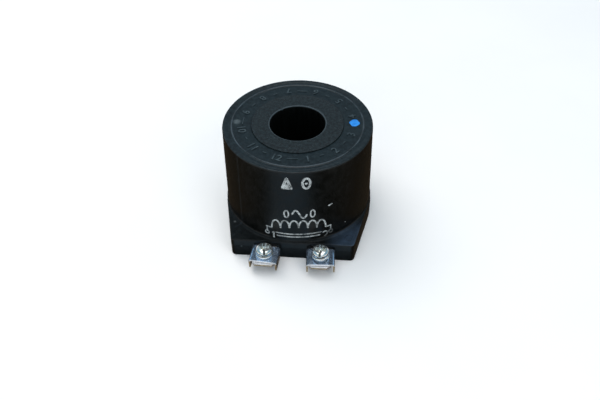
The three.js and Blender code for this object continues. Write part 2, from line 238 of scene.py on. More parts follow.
def polar(radius, angle, z):
    return radius * math.cos(angle), radius * math.sin(angle), z


def lathe(profile, segments, closed=True):
    """Points and faces of a profile of (radius, z) turned about the bore axis."""
    verts = []
    for radius, z in profile:
        for j in range(segments):
            verts.append(polar(radius, 2 * math.pi * j / segments, z))
    if closed:
        return verts, ring_faces(len(profile), segments, True)
    return verts, tube_faces(len(profile), segments)


def prism(outline, bottom, top):
    """Points and faces of a flat outline raised from one height to another."""
    count = len(outline)
    verts = [(x, y, bottom) for x, y in outline] + [(x, y, top) for x, y in outline]
    faces = [tuple(range(count)), tuple(range(count, 2 * count))]
    faces += [(i, (i + 1) % count, count + (i + 1) % count, count + i) for i in range(count)]
    return verts, faces


def circle(radius, count=48):
    turns = [2 * math.pi * i / count for i in range(count)]
    return [(radius * math.cos(t), radius * math.sin(t)) for t in turns]


def turned_about_z(verts, angle):
    c, s = math.cos(angle), math.sin(angle)
    return [(x * c - y * s, x * s + y * c, z) for x, y, z in verts]


def moved(verts, x, y, z=0.0):
    return [(a + x, b + y, c + z) for a, b, c in verts]


def cut(piece, cutters, operation="DIFFERENCE"):
    """Cuts the piece with (points, faces) solids, and keeps the result as its mesh."""
    for verts, faces in cutters:
        cutter = build("cutter", verts, faces, None, [])
        change = piece.modifiers.new("cut", "BOOLEAN")
        change.operation = operation
        change.solver = "MANIFOLD"
        change.object = cutter
        bake(piece)
        bpy.data.objects.remove(cutter)


def bake(piece):
    """Makes the modifiers' result the piece's own mesh."""
    bpy.context.view_layer.update()
    seen = piece.evaluated_get(bpy.context.evaluated_depsgraph_get())
    result = bpy.data.meshes.new_from_object(seen)
    piece.modifiers.clear()
    piece.data = result
    result.name = piece.name


def soften(piece, width, angle=40, segments=2):
    """Breaks the piece's sharp edges by width millimetres."""
    edge = piece.modifiers.new("edge", "BEVEL")
    edge.width = width * MM
    edge.segments = segments
    edge.limit_method = "ANGLE"
    edge.angle_limit = math.radians(angle)
    edge.harden_normals = True
    return piece


# ---- Material helpers --------------------------------------------------------------------

class Nodes:
    """A node tree, with short calls that add nodes and join them."""

    def __init__(self, tree):
        self.tree = tree

    def add(self, kind, **settings):
        node = self.tree.nodes.new("ShaderNode" + kind)
        for name, value in settings.items():
            setattr(node, name, value)
        return node

    def join(self, output, node, socket):
        self.tree.links.new(output, node.inputs[socket])

    def spread(self, value, low, high, to_low=0.0, to_high=1.0, shape="SMOOTHSTEP"):
        """The value stretched from low..high to to_low..to_high, held inside them."""
        node = self.add("MapRange", interpolation_type=shape)
        limits = {"From Min": low, "From Max": high, "To Min": to_low, "To Max": to_high}
        for socket, number in limits.items():
            node.inputs[socket].default_value = number
        self.join(value, node, "Value")
        return node.outputs["Result"]

    def mix(self, factor, a, b, blend="MIX"):
        node = self.add("Mix", data_type="RGBA", blend_type=blend)
        for socket, value in ((0, factor), (6, a), (7, b)):
            if isinstance(value, tuple):
                node.inputs[socket].default_value = (*value, 1)
            elif isinstance(value, (int, float)):
                node.inputs[socket].default_value = value
            else:
                self.join(value, node, socket)
        return node.outputs[2]


class Look(Nodes):
    """A node material."""

    def __init__(self, name, **settings):
        self.material = bpy.data.materials.new(name)
        self.material.use_nodes = True
        super().__init__(self.material.node_tree)
        self.shader = self.tree.nodes["Principled BSDF"]
        for socket, value in settings.items():
            self.shader.inputs[socket.replace("_", " ")].default_value = value
        self.place = self.add("TexCoord").outputs["Object"]

    def stretched(self, scale):
        mapping = self.add("Mapping")
        mapping.inputs["Scale"].default_value = scale
        self.join(self.place, mapping, "Vector")
        return mapping.outputs["Vector"]

    def noise(self, size_mm, detail=3.0, roughness=0.55, stretch=(1, 1, 1), distort=0.0):
        node = self.add("TexNoise")
        node.inputs["Scale"].default_value = 1 / (size_mm * MM)
        node.inputs["Detail"].default_value = detail
        node.inputs["Roughness"].default_value = roughness
        node.inputs["Distortion"].default_value = distort
        self.join(self.stretched(stretch), node, "Vector")
        return node.outputs["Fac"]

    def specks(self, size_mm, stretch=(1, 1, 1)):
        node = self.add("TexVoronoi")
        node.inputs["Scale"].default_value = 1 / (size_mm * MM)
        self.join(self.stretched(stretch), node, "Vector")
        return node.outputs["Distance"]

    def math(self, operation, a, b):
        node = self.add("Math", operation=operation)
        for socket, value in ((0, a), (1, b)):
            if isinstance(value, (int, float)):
                node.inputs[socket].default_value = value
            else:
                self.join(value, node, socket)
        return node.outputs["Value"]

    def times(self, a, b):
        return self.math("MULTIPLY", a, b)

    def near(self, point_mm, radius_mm, soft_mm):
        """1 inside a ball about a point measured from the bore axis, 0 outside it."""
        x, y, z = point_mm
        node = self.add("VectorMath", operation="DISTANCE")
        node.inputs[1].default_value = (x * MM, (y + BORE_AXIS_Y) * MM, z * MM)
        self.join(self.place, node, 0)
        far = (radius_mm + soft_mm) * MM
        return self.spread(node.outputs["Value"], far, radius_mm * MM)

    def from_axis(self):
        """Distance from the bore axis, in metres."""
        flat = self.add("VectorMath", operation="MULTIPLY")
        flat.inputs[1].default_value = (1, 1, 0)
        self.join(self.place, flat, 0)
        node = self.add("VectorMath", operation="DISTANCE")
        node.inputs[1].default_value = (0, BORE_AXIS_Y * MM, 0)
        self.join(flat.outputs["Vector"], node, 0)
        return node.outputs["Value"]

    def ring(self, radius_mm, half_width_mm):
        """1 on a circle about the bore axis, fading to 0 at half_width on either side."""
        off = self.math("ABSOLUTE", self.math("SUBTRACT", self.from_axis(), radius_mm * MM), 0.0)
        return self.spread(off, half_width_mm * MM, 0.0)

    def height(self, low_mm, high_mm):
        """0 below the low height and 1 above the high one."""
        node = self.add("SeparateXYZ")
        self.join(self.place, node, "Vector")
        return self.spread(node.outputs["Z"], low_mm * MM, high_mm * MM)

    def edges(self, low=0.52, high=0.62):
        """1 along the mesh's outer edges."""
        node = self.add("NewGeometry")
        return self.spread(node.outputs["Pointiness"], low, high)

    def colour(self, output):
        self.join(output, self.shader, "Base Color")

    def toned(self, noise, dark, pale, low=0.3, high=0.7):
        """Colours the surface from dark to pale by a noise."""
        self.colour(self.mix(self.spread(noise, low, high), dark, pale))

    def rough(self, output):
        self.join(output, self.shader, "Roughness")

    def uneven(self, noise, smooth, dull, low=0.3, high=0.7):
        """Varies the roughness from smooth to dull by a noise."""
        self.rough(self.spread(noise, low, high, smooth, dull))

    def bump(self, heights, depth_mm=0.02, strength=1.0):
        """Adds height outputs, one above the other."""
        normal = None
        for height in heights:
            node = self.add("Bump")
            node.inputs["Strength"].default_value = strength
            node.inputs["Distance"].default_value = depth_mm * MM
            self.join(height, node, "Height")
            if normal is not None:
                self.join(normal, node, "Normal")
            normal = node.outputs["Normal"]
        self.join(normal, self.shader, "Normal")


# ---- Materials ---------------------------------------------------------------------------

def moulding_face():
    """The top of the moulding: satin black compound that takes the light from above, with a painted
    highlight along the bead's crest and along its edges.
    """
    look = Look("moulding_face", Roughness=0.38, Specular_IOR_Level=0.45)
    tone = look.spread(look.noise(1.3, 4, 0.7), 0.42, 0.6)
    broad = look.spread(look.noise(7, 2), 0.35, 0.65)
    grain = look.noise(0.45, 4, 0.75)
    dust = look.spread(look.specks(0.6), 0.12, 0.03)
    dark = look.mix(broad, (0.0, 0.0012, 0.0018), (0.001, 0.004, 0.0052))
    colour = look.mix(tone, dark, (0.0065, 0.0115, 0.0135))
    colour = look.mix(look.times(dust, 0.22), colour, (0.06, 0.08, 0.09))
    # A paler, patchy spot on the top face, left of the bore.
    pale_spot = look.near((-20.3, -0.5, TOP_FACE), 0.6, 1.1)
    pale_spot_patch = look.times(pale_spot, look.spread(look.noise(0.8), 0.25, 0.75, 0.55, 1.0))
    colour = look.mix(look.times(pale_spot_patch, 0.5), colour, (0.15, 0.18, 0.19))
    # Painted highlight: a broken paler line along the bead's crest.
    breakup_noise = look.spread(look.noise(6, 3), 0.35, 0.6, 0.15, 0.9)
    crest = look.times(look.ring(BEAD_RADIUS, 0.36), breakup_noise)
    colour = look.mix(crest, colour, (0.055, 0.075, 0.09))
    # Painted highlight: the mesh's outer edges coloured paler.
    painted_edge_highlight = look.times(look.edges(), 0.12)
    look.colour(look.mix(painted_edge_highlight, colour, (0.05, 0.08, 0.095)))
    look.uneven(grain, 0.3, 0.48)
    look.bump([grain, look.noise(3.5, 2)], depth_mm=0.03, strength=0.7)
    return look.material


def ledge_surface():
    """The shelf around the barrel's foot: dull black, with a painted bluish sheen at its right front
    corner, one painted glint at its left end and a painted highlight along its edges.
    """
    look = Look("ledge_surface", Roughness=0.5, Specular_IOR_Level=0.22)
    tone = look.spread(look.noise(2, 4, 0.7), 0.4, 0.62)
    colour = look.mix(tone, (0.0006, 0.0012, 0.0012), (0.0032, 0.0046, 0.0048))
    # Painted sheen: a patchy bluish lighter patch at the ledge's right front corner.
    right_corner_sheen = look.near((21.0, -23.5, BASE_HEIGHT), 3.0, 8.0)
    patchy = look.times(right_corner_sheen, look.spread(look.noise(2.4, 3), 0.3, 0.7, 0.6, 1.0))
    colour = look.mix(patchy, colour, (0.03, 0.048, 0.075))
    # Painted glint: a small bright spot at the ledge's left end.
    bright = look.near((-20.7, -17.6, BASE_HEIGHT), 0.15, 0.5)
    colour = look.mix(look.times(bright, 0.5), colour, (0.14, 0.15, 0.15))
    # Painted highlight: the ledge's outer edges coloured paler.
    painted_edge_highlight = look.times(look.edges(0.51, 0.6), 0.2)
    look.colour(look.mix(painted_edge_highlight, colour, (0.03, 0.04, 0.05)))
    look.uneven(look.noise(0.8), 0.42, 0.58)
    look.bump([look.noise(0.5, 3)], depth_mm=0.02, strength=0.5)
    return look.material


def relief_tops():
    """The raised marks, coloured a little paler than the face around them as a painted highlight."""
    look = Look("relief_tops", Roughness=0.36, Specular_IOR_Level=0.5)
    # Painted highlight: the raised tops coloured paler than the face.
    look.toned(look.noise(1.6, 4), (0.018, 0.027, 0.031), (0.045, 0.06, 0.066))
    look.uneven(look.noise(0.5), 0.3, 0.44)
    look.bump([look.noise(0.4, 3)], depth_mm=0.015, strength=0.5)
    return look.material


def moulding_wall():
    """The sides and base of the moulding: darker, smoother, with handling marks and a painted highlight
    along its edges.
    """
    look = Look("moulding_wall", Roughness=0.34, Specular_IOR_Level=0.38)
    tone = look.spread(look.noise(9, 3, stretch=(1, 1, 0.35)), 0.3, 0.7)
    streak = look.spread(look.noise(1.4, 3, stretch=(1, 1, 0.06)), 0.45, 0.8)
    grain = look.noise(0.3, 3, 0.65)
    colour = look.mix(tone, (0.0011, 0.0012, 0.0008), (0.0024, 0.0025, 0.0019))
    colour = look.mix(look.times(streak, 0.22), colour, (0.007, 0.008, 0.008))
    # Painted highlight: the mesh's outer edges coloured paler.
    painted_edge_highlight = look.times(look.edges(0.51, 0.6), 0.25)
    look.colour(look.mix(painted_edge_highlight, colour, (0.035, 0.042, 0.047)))
    look.uneven(look.noise(2.2, 4), 0.28, 0.42, high=0.75)
    look.bump([grain, look.noise(7, 2)], depth_mm=0.012, strength=0.4)
    return look.material


def bobbin_nylon():
    """Glass-filled nylon: rough, with fine pale glass specks at its surface and a painted highlight
    along the bore's rounded edges.
    """
    look = Look("bobbin_nylon", Roughness=0.48, Specular_IOR_Level=0.42)
    tone = look.spread(look.noise(0.95, 4, 0.75), 0.42, 0.6)
    glass = look.spread(look.specks(0.6, (1, 1.4, 1)), 0.26, 0.08)
    patchy = look.times(glass, look.spread(look.noise(0.9), 0.46, 0.6, 0.05, 0.9))
    colour = look.mix(tone, (0.0, 0.001, 0.0015), (0.0095, 0.0165, 0.019))
    colour = look.mix(patchy, colour, (0.06, 0.085, 0.095))
    # Painted highlight: a paler ring along the bore's rounded edges.
    rounded = look.times(look.ring(BORE_RADIUS + 0.22, 0.3), 0.6)
    look.colour(look.mix(rounded, colour, (0.075, 0.1, 0.115)))
    grain = look.noise(0.5, 4, 0.75)
    look.uneven(grain, 0.4, 0.66)
    look.bump([grain, glass], depth_mm=0.05, strength=1.0)
    return look.material


def bore_wall():
    """The nylon inside the bore, coloured near black as painted shade, with faint upright streaks."""
    look = Look("bore_wall", Roughness=0.5, Specular_IOR_Level=0.25)
    breakup_noise = look.noise(0.8, 3, stretch=(1, 1, 0.08))
    # Painted shade: the bore's nylon coloured far darker than the bobbin outside.
    look.toned(breakup_noise, (0.0008, 0.0012, 0.001), (0.0016, 0.0022, 0.0021))
    look.uneven(breakup_noise, 0.42, 0.58)
    look.bump([breakup_noise], depth_mm=0.01, strength=0.4)
    return look.material


def nickel(name, tint, stain, roughness, waviness_mm, grain_direction=(1, 1, 1)):
    """Bright nickel plate with fine rubbing marks and faint stains."""
    look = Look(name, Metallic=0.95, Roughness=roughness)
    breakup_noise = look.noise(0.3, 3, 0.6, stretch=grain_direction)
    blotch = look.spread(look.noise(1.8, 3, 0.6), 0.5, 0.7)
    look.colour(look.mix(look.times(blotch, 0.6), tint, stain))
    fine = look.spread(breakup_noise, 0.35, 0.7, roughness * 0.75, roughness * 1.3)
    look.rough(look.math("ADD", fine, look.times(blotch, 0.06)))
    look.bump([look.noise(2.4, 1)], depth_mm=waviness_mm, strength=1.0)
    return look.material


def cut_edge():
    """Sheared metal edges: bright high up, warmer low down where the plating is thin."""
    look = Look("sheared_edge", Metallic=0.5, Roughness=0.34)
    lines = look.noise(0.2, 4, 0.7, stretch=(1, 1, 0.2))
    shade = look.spread(lines, 0.35, 0.7)
    low = look.mix(shade, (0.3, 0.2, 0.1), (0.62, 0.5, 0.33))
    high = look.mix(shade, (0.82, 0.83, 0.86), (1.0, 1.0, 1.0))
    look.colour(look.mix(look.height(4.75, 5.5), low, high))
    look.uneven(lines, 0.26, 0.44)
    look.bump([lines], depth_mm=0.01, strength=0.5)
    return look.material


def copper_enamel():
    """Enamelled copper wire."""
    look = Look("copper_enamel", Metallic=0.85, Roughness=0.28, Coat_Weight=0.5)
    look.toned(look.noise(1.5, 3), (0.42, 0.13, 0.045), (0.62, 0.24, 0.09))
    look.uneven(look.noise(0.5), 0.22, 0.38)
    look.bump([look.noise(0.4, 2)], depth_mm=0.006, strength=0.5)
    return look.material


def polyester_tape():
    look = Look("polyester_tape", Roughness=0.26, Specular_IOR_Level=0.6)
    look.toned(look.noise(5, 3, stretch=(1, 1, 0.3)), (0.58, 0.33, 0.05), (0.72, 0.46, 0.09))
    look.uneven(look.noise(2), 0.18, 0.36)
    look.bump([look.noise(3, 2, stretch=(1, 1, 0.2))], depth_mm=0.05, strength=0.6)
    return look.material


def glass_sleeving():
    look = Look("glass_sleeving", Roughness=0.6)
    weave = look.noise(0.12, 2, stretch=(1, 1, 0.5))
    look.toned(weave, (0.55, 0.5, 0.38), (0.78, 0.74, 0.62), 0.35, 0.65)
    look.uneven(weave, 0.45, 0.7)
    look.bump([weave], depth_mm=0.03)
    return look.material


def tin_solder():
    look = Look("tin_solder", Metallic=1.0, Roughness=0.3)
    frost = look.noise(0.3, 4)
    look.toned(frost, (0.5, 0.51, 0.53), (0.72, 0.73, 0.74))
    look.uneven(frost, 0.2, 0.45)
    look.bump([frost], depth_mm=0.02)
    return look.material


def white_ink():
    """Stamped ink that has thinned and flaked, so the moulding shows through."""
    look = Look("white_ink", Roughness=0.55, Specular_IOR_Level=0.3)
    flakes = look.spread(look.noise(0.45, 4, 0.7), 0.36, 0.5)
    thin = look.spread(look.noise(2.6, 2), 0.3, 0.62, 0.35, 1.0)
    worn = look.near((13.2, -21.4, 8.5), 1.6, 3.6)
    worn = look.math("SUBTRACT", 1.0, look.times(worn, 0.8))
    cover = look.times(look.times(flakes, thin), worn)
    look.colour(look.mix(cover, (0.02, 0.022, 0.023), (0.5, 0.53, 0.53)))
    look.uneven(flakes, 0.4, 0.65, 0, 1)
    look.bump([flakes], depth_mm=0.01)
    return look.material


def blue_paint():
    look = Look("blue_paint", Roughness=0.35, Specular_IOR_Level=0.5)
    look.toned(look.noise(1.1, 3), (0.012, 0.19, 0.62), (0.03, 0.28, 0.78))
    look.uneven(look.noise(0.5), 0.28, 0.46)
    look.bump([look.noise(0.8, 2)], depth_mm=0.05)
    return look.material


def studio_floor():
    look = Look("studio_floor", Roughness=0.85, Specular_IOR_Level=0.1)
    look.toned(look.noise(60, 3), (0.96, 0.925, 0.9), (0.98, 0.945, 0.92))
    look.uneven(look.noise(8), 0.8, 0.9)
    return look.material


# ---- Moulded body ------------------------------------------------------------------------

def body_angles():
    """Directions about the bore axis, closer together at the base's two front corners."""
    corner = math.degrees(math.atan2(-BASE_FRONT, BASE_FRONT_HALF_WIDTH))
    angles = set(np.arange(-180, 180, 1.0).round(3))
    for centre in (corner, -180 - corner):
        angles |= set(np.arange(round(centre) - 8, round(centre) + 8, 0.25).round(3))
    return np.radians(sorted(angles))


def plan_radius(angles, inset):
    """How far the base's edge lies from the bore axis in each direction, moved in by inset."""
    facing = np.linspace(-math.pi, math.pi, 3600, endpoint=False)
    corner_x = BASE_FRONT_HALF_WIDTH - BASE_CORNER
    corner_y = BASE_FRONT - BASE_CORNER
    back = np.full_like(facing, BASE_BACK_RADIUS - inset)
    front = corner_x * np.abs(np.cos(facing)) - corner_y * np.sin(facing) + BASE_CORNER - inset
    support = np.maximum(back, front)
    cosine = np.cos(angles[:, None] - facing[None, :])
    reach = np.where(cosine > 0.3, support / np.maximum(cosine, 0.3), np.inf)
    return reach.min(axis=1)


def barrel_radius(z):
    """The barrel's radius at a height: it tapers from foot to rim."""
    share = (z - BASE_HEIGHT) / (TOP_FACE - BASE_HEIGHT)
    return FOOT_RADIUS + (TOP_RADIUS - FOOT_RADIUS) * share


def top_rings():
    """(radius, z) of the top face from its inner edge to the start of the rim's rounding."""
    rings = [(COLLAR_ROOM, TOP_FACE - 0.12), (COLLAR_ROOM + 0.04, TOP_FACE - 0.04)]
    rings += [(COLLAR_ROOM + 0.12, TOP_FACE), (16.4, TOP_FACE), (18.5, TOP_FACE), (20.6, TOP_FACE)]
    for k in range(11):
        along = k / 5 - 1
        crest = 0.5 + 0.5 * math.cos(math.pi * along)
        rings.append((BEAD_RADIUS + BEAD_HALF_WIDTH * along, TOP_FACE + BEAD_HEIGHT * crest))
    rings.append((RIM_INNER_RADIUS - 0.1, TOP_FACE - DIP_DEPTH))
    for k in range(11):
        share = k / 10
        climb = (0.5 - 0.5 * math.cos(math.pi * share)) * (RIM_TOP - TOP_FACE + DIP_DEPTH)
        radius = RIM_INNER_RADIUS + (RIM_CREST_RADIUS - RIM_INNER_RADIUS) * share
        rings.append((radius, TOP_FACE - DIP_DEPTH + climb))
    return rings


def quarter_turn(steps):
    """Angles from 0 to 90 degrees."""
    return [math.pi / 2 * k / steps for k in range(steps + 1)]


def rim_rings():
    """(radius, z) of the rounded edge around the top."""
    rings = []
    for turn in quarter_turn(8):
        radius = TOP_RADIUS - RIM_ROUND + RIM_ROUND * math.sin(turn)
        rings.append((radius, RIM_TOP - RIM_ROUND + RIM_ROUND * math.cos(turn)))
    return rings


def base_rings(angles):
    """The barrel's foot fillet, the ledge, and the base's sides, as arrays about the axis."""
    count = len(angles)
    ledge_edge = plan_radius(angles, UPPER_DRAFT + BASE_EDGE_ROUND)
    fillet_size = np.clip(ledge_edge - FOOT_RADIUS, FILLET_MIN, FILLET_MAX)
    rings = []
    for k, turn in enumerate(quarter_turn(8)):
        radius = FOOT_RADIUS + fillet_size * (1 - math.cos(turn))
        radius = np.minimum(radius, ledge_edge + 0.02 * k)
        rings.append((radius, BASE_HEIGHT + fillet_size * (1 - math.sin(turn))))
    fillet_end = rings[-1][0]
    for share in (0.5, 0.97):
        rings.append((fillet_end + (ledge_edge - fillet_end) * share, np.full(count, BASE_HEIGHT)))
    for turn in quarter_turn(6):
        inset = UPPER_DRAFT + BASE_EDGE_ROUND * (1 - math.sin(turn))
        z = BASE_HEIGHT - BASE_EDGE_ROUND * (1 - math.cos(turn))
        rings.append((np.maximum(plan_radius(angles, inset), fillet_end), np.full(count, z)))
    for z, inset in (
        (PARTING_HEIGHT + 0.12, PARTING_RIDGE),
        (PARTING_HEIGHT + 0.05, 0.0),
        (PARTING_HEIGHT - 0.05, 0.0),
        (PARTING_HEIGHT - 0.12, PARTING_RIDGE),
    ):
        rings.append((plan_radius(angles, inset), np.full(count, z)))
    for turn in quarter_turn(5):
        inset = LOWER_DRAFT + BOTTOM_ROUND * (1 - math.cos(turn))
        z = BOTTOM_ROUND * (1 - math.sin(turn))
        rings.append((plan_radius(angles, inset), np.full(count, z)))
    return rings


def inner_rings():
    """The underside's inner edge and the room for the bobbin, back up to the top face."""
    return [
        (20.0, 0.0),
        (COLLAR_ROOM + 0.12, 0.0),
        (COLLAR_ROOM, 0.12),
        (COLLAR_ROOM, ROOM_BOTTOM),
        (FLANGE_ROOM, ROOM_BOTTOM),
        (FLANGE_ROOM, ROOM_TOP),
        (COLLAR_ROOM, ROOM_TOP),
    ]


def rectangle(width, front, back):
    """A rectangle on the base's middle line, between two distances in front of the bore axis."""
    half = width / 2
    return [(-half, -front), (half, -front), (half, -back), (-half, -back)]


def ring_cutter(x, y, z, radius, section=0.09):
    """A thin torus that leaves a circular line."""
    verts, faces = lathe([(radius + px, z + pz) for px, pz in circle(section, 8)], 40)
    return moved(verts, x, y), faces


def strip_slot(which):
    """The slot in the moulding that holds a terminal strip."""
    outline = rectangle(STRIP_WIDTH + 2 * STRIP_ROOM, BASE_FRONT + 2, SLOT_BACK)
    verts, faces = prism(outline, STRIP_Z[0] - STRIP_ROOM, STRIP_Z[1] + STRIP_ROOM)
    return moved(verts, TERMINAL_X[which], 0), faces


def moulded_shell(face, wall, ledge):
    angles = body_angles()
    count = len(angles)
    on_top = top_rings() + rim_rings()
    barrel = [(barrel_radius(z), z) for z in np.linspace(TOP_FACE - 2.5, BASE_HEIGHT + 1.8, 12)]
    rings = on_top + barrel + base_rings(angles) + inner_rings()
    verts = []
    for radius, z in rings:
        radii = np.broadcast_to(radius, count)
        heights = np.broadcast_to(z, count)
        for angle, r, h in zip(angles, radii, heights):
            verts.append(polar(r, angle, h))
    faces = ring_faces(len(rings), count, True)
    shell = build("moulded_shell", verts, faces, "coil_body", [face, wall, ledge], None, 30)
    cutters = [strip_slot(which) for which in SIDES]
    x, y = EJECTOR_MARK
    cutters += [ring_cutter(side * x, y, BASE_HEIGHT, EJECTOR_RADIUS) for side in SIDES.values()]
    cut(shell, cutters)
    for polygon in shell.data.polygons:
        z = polygon.center.z / MM
        if polygon.normal.z > 0.5 and z > BASE_HEIGHT - 0.5:
            polygon.material_index = 0 if z > TOP_FACE - 1 else 2
        else:
            polygon.material_index = 1
    smooth(shell.data, 30)
    return stands_for(shell, "moulding", "moulded_body")


def gate_nub(look):
    """What is left of the moulding gate, low on the front face at the parting line."""
    rounded = [(0.32 * math.cos(t), 0.2 * math.sin(t)) for t in np.linspace(-1.5, 1.5, 9)]
    verts, faces = lathe([(max(r, 0.02), z) for r, z in rounded], 16, False)
    x, y, z = GATE
    # The nub takes the paler relief colour, a painted highlight.
    return mark("gate_nub", (moved(verts, x, y, z), faces), look)


def mark(name, solid, look, angle=35):
    """A piece of surface detail that rides on the moulding."""
    piece = build(name, *solid, "coil_body", [look], None, angle)
    return piece


# ---- Relief numerals and other marks on the top face -------------------------------------

def glyph(text, height, thickness):
    """Points and faces of a raised numeral, centred on its own origin."""
    curve = bpy.data.curves.new("glyph", "FONT")
    curve.body = text
    curve.size = 1.0
    curve.resolution_u = 4
    curve.extrude = 0.1
    curve.offset = 0.012
    holder = bpy.data.objects.new("glyph", curve)
    bpy.context.scene.collection.objects.link(holder)
    bpy.context.view_layer.update()
    mesh = bpy.data.meshes.new_from_object(holder.evaluated_get(bpy.context.evaluated_depsgraph_get()))
    points = np.array([v.co for v in mesh.vertices])
    faces = [tuple(p.vertices) for p in mesh.polygons]
    bpy.data.objects.remove(holder)
    low, high = points.min(axis=0), points.max(axis=0)
    points -= (low + high) / 2
    points[:, :2] *= height / (high[1] - low[1])
    points[:, 2] *= thickness / (high[2] - low[2])
    return [tuple(p) for p in points], faces


def joined(solids):
    """Several (points, faces) solids as one."""
    verts, faces = [], []
    for more_verts, more_faces in solids:
        start = len(verts)
        verts += more_verts
        faces += [tuple(i + start for i in face) for face in more_faces]
    return verts, faces


def around(solid, radius, angle):
    """A solid drawn upright at the origin, set on the top face with its foot outward."""
    verts, faces = solid
    turned = turned_about_z(verts, angle + math.pi / 2)
    x, y = radius * math.cos(angle), radius * math.sin(angle)
    return moved(turned, x, y, TOP_FACE + RELIEF / 2 - 0.03), faces


def bar(width, length):
    half = width / 2, length / 2
    outline = fillet([(half[0], -half[1], 0.1), (half[0], half[1], 0.1),
                      (-half[0], half[1], 0.1), (-half[0], -half[1], 0.1)])
    return prism(outline, -RELIEF / 2 - 0.03, RELIEF / 2 + 0.03)


def relief_numerals(face):
    """Twelve raised numerals about the bore with a short bar between each pair."""
    solids = []
    for number in range(1, 13):
        angle = math.radians(-105 + 30 * number)
        solids.append(around(glyph(str(number), NUMERAL_HEIGHT, RELIEF + 0.06), NUMERAL_RADIUS, angle))
    for k in range(12):
        if k == PAINTED_BAR:
            continue
        angle = math.radians(-90 + 30 * k)
        length = 3.6 if k % 3 == 0 else 1.4
        solids.append(around(bar(length, 0.28), NUMERAL_RADIUS - 0.35, angle))
    return mark("relief_numerals", joined(solids), face, 30)


def paint_dot(paint):
    """A thin, slightly angular dab of paint, crowned in the middle."""
    x, y = PAINT_DOT
    across, along = PAINT_DOT_SIZE
    rings, count = 6, 40
    verts, faces = [], []
    for i in range(rings + 1):
        share = i / rings
        z = TOP_FACE + 0.09 * (1 - share ** 3) - 0.015
        for j in range(count):
            turn = 2 * math.pi * j / count
            wobble = 1 + 0.05 * math.cos(4 * turn + 0.6) + 0.035 * math.cos(6 * turn)
            reach = share * wobble
            verts.append((x + across * reach * math.cos(turn), y + along * reach * math.sin(turn), z))
    faces = ring_faces(rings + 1, count, False)
    piece = mark("paint_dot", (verts, faces), paint)
    work = bmesh.new()
    work.from_mesh(piece.data)
    bmesh.ops.remove_doubles(work, verts=work.verts, dist=1e-6)
    work.to_mesh(piece.data)
    work.free()
    return piece


# ---- Ink marks on the barrel -------------------------------------------------------------

def on_barrel(s, z, lift):
    """A point at arc length s from the front and height z, lifted off the barrel."""
    radius = barrel_radius(z) + lift
    return polar(radius, s / FOOT_RADIUS - math.pi / 2, z)


def resampled(path, step=0.35):
    """The path with points no further apart than step."""
    points = [path[0]]
    for (x0, y0), (x1, y1) in zip(path, path[1:]):
        pieces = max(1, math.ceil(math.hypot(x1 - x0, y1 - y0) / step))
        points += [(x0 + (x1 - x0) * k / pieces, y0 + (y1 - y0) * k / pieces)
                   for k in range(1, pieces + 1)]
    return points


def stroke(path, width, rounded=True):
    """A thin ribbon of ink along a path of (s, z), wrapped on the barrel."""
    points = np.array(resampled(path))
    steps = np.diff(points, axis=0)
    run = np.concatenate([[0], np.cumsum(np.hypot(*steps.T))])
    tangent = np.gradient(points, axis=0)
    tangent /= np.maximum(np.hypot(*tangent.T), 1e-9)[:, None]
    normal = np.stack([-tangent[:, 1], tangent[:, 0]], axis=1)
    verts = []
    for point, side, at in zip(points, normal, run):
        half = width / 2
        if rounded:
            from_end = min(at, run[-1] - at, half)
            half *= max(0.35, math.sqrt(1 - (1 - from_end / half) ** 2))
        for offset, lift in ((half, -0.02), (half, INK_LIFT), (-half, INK_LIFT), (-half, -0.02)):
            verts.append(on_barrel(*(point + side * offset), lift))
    count = len(points)
    return verts, tube_faces(count, 4)


def arc_path(s, z, radius_s, radius_z, start, end, steps=24):
    turns = [math.radians(start + (end - start) * k / steps) for k in range(steps + 1)]
    return [(s + radius_s * math.cos(t), z + radius_z * math.sin(t)) for t in turns]


def dot(s, z, radius):
    path = [(s - radius + 2 * radius * k / 8, z) for k in range(9)]
    return stroke(path, 2 * radius)


def stamp_marks():
    """A bold triangle and a bold ring, as an inspector's stamps."""
    triangle = [(-1.35, 35.6), (-2.75, 31.5), (0.1, 31.5), (-1.35, 35.6), (-1.85, 34.0)]
    return [
        stroke(triangle, 0.95, False),
        stroke([(-1.9, 32.5), (-0.8, 32.5)], 1.3, False),
        stroke(arc_path(4.95, 33.5, 1.25, 2.05, 0, 372, 40), 0.8, False),
        dot(4.95, 33.5, 0.45),
    ]


def supply_mark():
    """One wave between two rings: alternating current."""
    wave = [(0.1 + 5.0 * k / 30, 20.2 + 1.75 * math.sin(2 * math.pi * k / 30)) for k in range(31)]
    return [
        stroke(wave, 0.62),
        stroke(arc_path(-1.75, 20.2, 0.75, 1.55, 0, 365, 30), 0.5),
        stroke(arc_path(6.95, 20.2, 0.75, 1.55, 0, 365, 30), 0.5),
    ]


def coil_diagram():
    """A winding drawn as humps over two core lines, with a ring at each end."""
    left, right, humps = -6.9, 11.4, 6
    step = (right - left) / humps
    hump_line = []
    for k in range(humps):
        middle = left + step * (k + 0.5)
        drop = 0.0105 * (middle - 2.2) ** 2
        hump_line += arc_path(middle, 14.0 - drop, step / 2, 3.3, 180, 0, 14)
    hump_line = [(left - 2.2, 12.9), (left, 12.9), *hump_line, (right, 12.9), (right + 2.2, 12.9)]
    marks = [
        stroke(hump_line, 0.55),
        stroke([(left + 1.2, 11.0), (right - 1.4, 11.0)], 0.5),
        stroke([(left + 1.6, 9.7), (right - 1.8, 9.7)], 0.5),
    ]
    for end in (left - 1.75, right + 1.9):
        marks.append(stroke(arc_path(end, 10.2, 0.7, 0.7, 90, 455, 20), 0.42))
        marks.append(stroke([(end, 12.9), (end, 10.9)], 0.5))
    return marks


